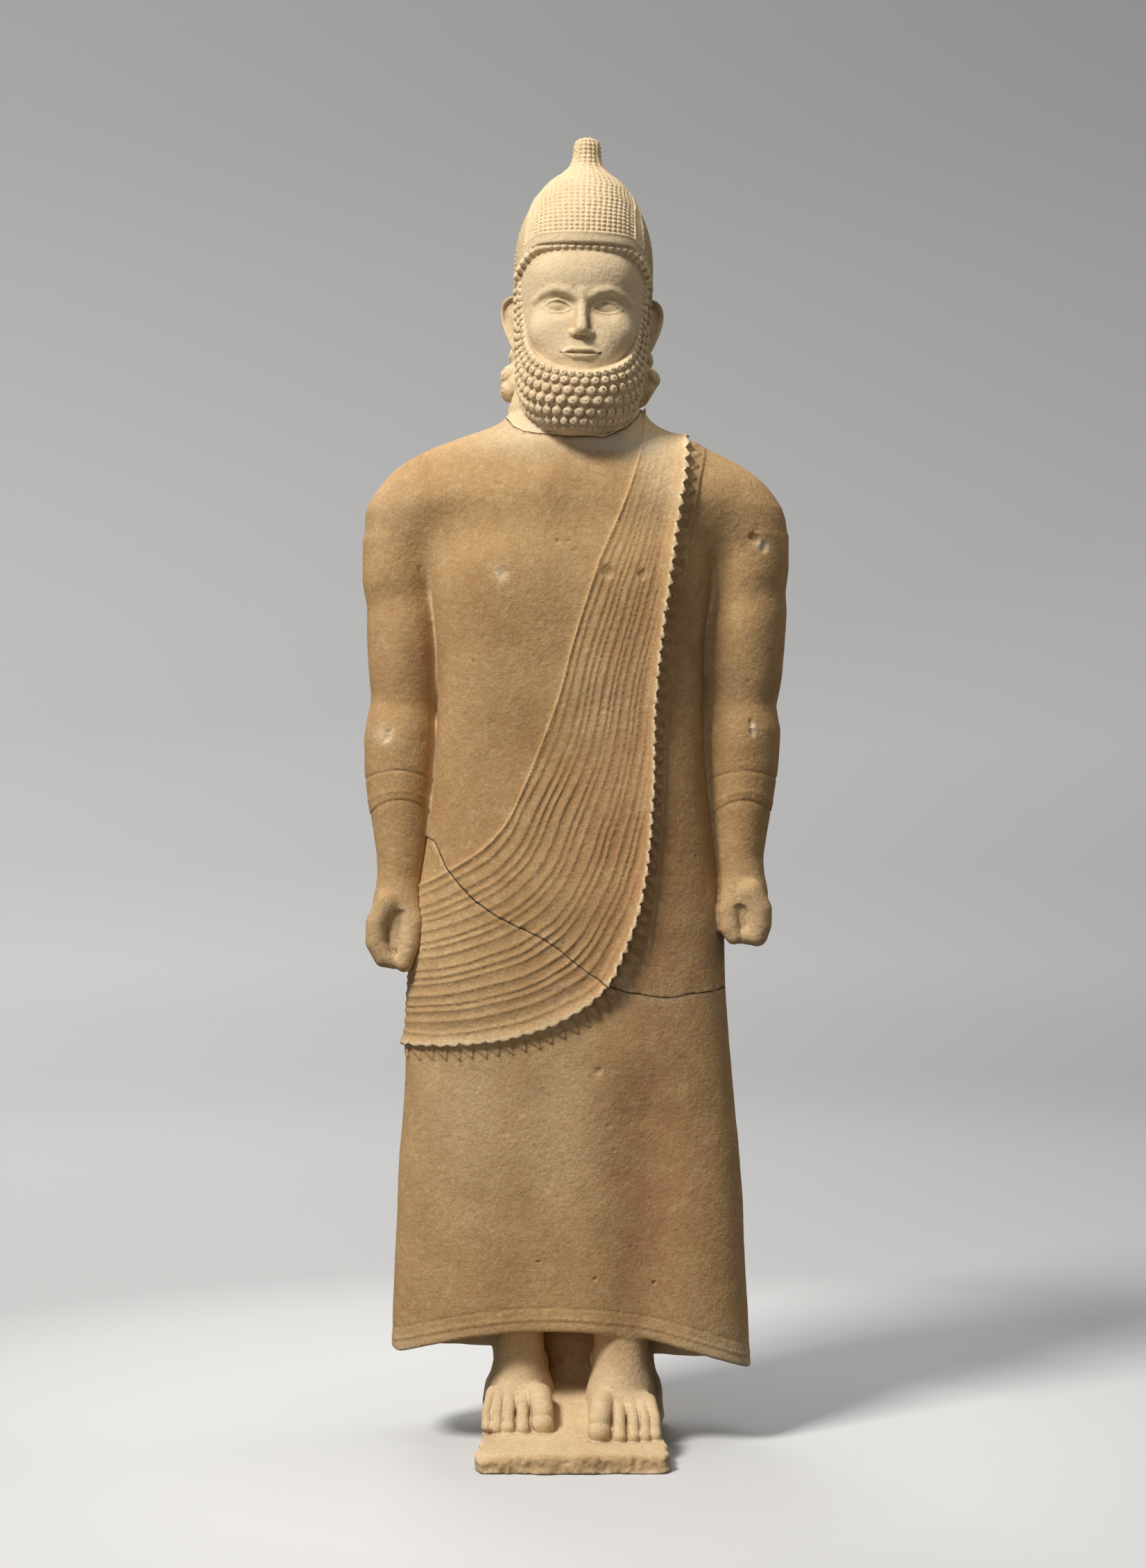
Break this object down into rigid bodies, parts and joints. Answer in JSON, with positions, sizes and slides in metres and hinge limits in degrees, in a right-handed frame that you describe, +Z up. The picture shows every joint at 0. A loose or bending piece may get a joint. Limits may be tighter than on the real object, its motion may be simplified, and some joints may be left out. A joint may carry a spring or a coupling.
{
  "type": "statue",
  "caption": "Standing stone figure of a bearded man in a pointed helmet, a long robe and a pleated mantle, with both fists at his sides, on a low base.",
  "frame": {"origin": "on the flat underside of the base, below the axis of the trunk", "axes": "+Z up the figure, -Y the way it faces, +X its own left side"},
  "size_m": [0.595, 0.341, 1.8096],
  "materials": {
    "limestone": "carved limestone, matt and weathered, with a warm tan skin, a paler head and worn reddish patches"
  },
  "bodies": {
    "root": {"statue": "limestone"}
  },
  "joints": []
}
